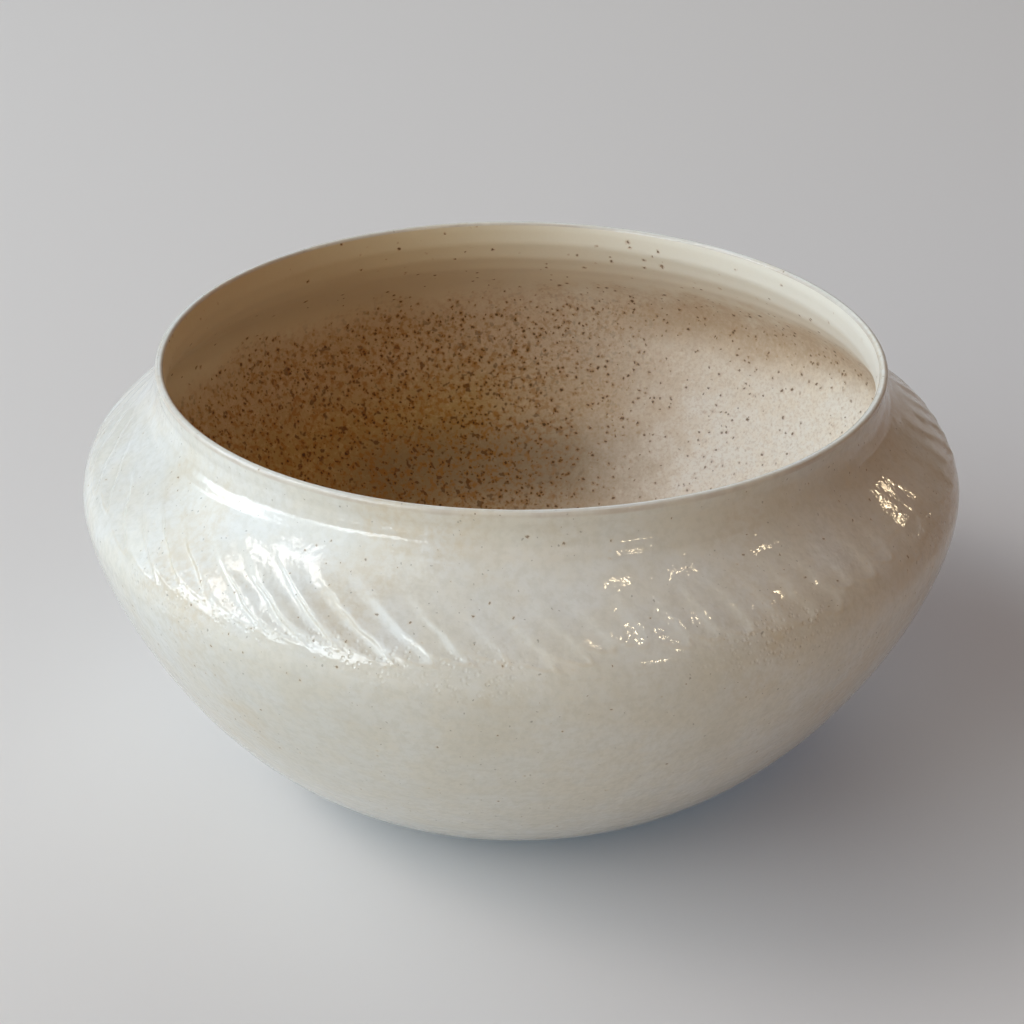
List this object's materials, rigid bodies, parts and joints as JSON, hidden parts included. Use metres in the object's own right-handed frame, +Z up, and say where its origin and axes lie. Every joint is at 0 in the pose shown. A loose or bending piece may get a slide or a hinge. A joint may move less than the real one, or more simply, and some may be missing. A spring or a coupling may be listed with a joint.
{
  "type": "serving bowl",
  "caption": "Round thrown stoneware serving bowl with a full shoulder, drawn-in mouth, thin rounded lip, slanting flutes round the belly and a low turned foot ring.",
  "frame": {"origin": "middle of the plane that the foot ring stands on", "axes": "+Z up along the axis that the bowl was thrown on; the bowl is round, so +X and +Y are free"},
  "size_m": [0.28, 0.28, 0.141],
  "materials": {
    "clay": "bare fired stoneware, buff, matt and slightly gritty",
    "glaze_outside": "glossy off-white glaze with fine sparse specks",
    "glaze_inside": "cream glaze broken by dense rust and brown specks"
  },
  "bodies": {
    "root": {"clay_body": "clay", "outer_glaze": "glaze_outside", "inner_glaze": "glaze_inside"}
  },
  "joints": []
}
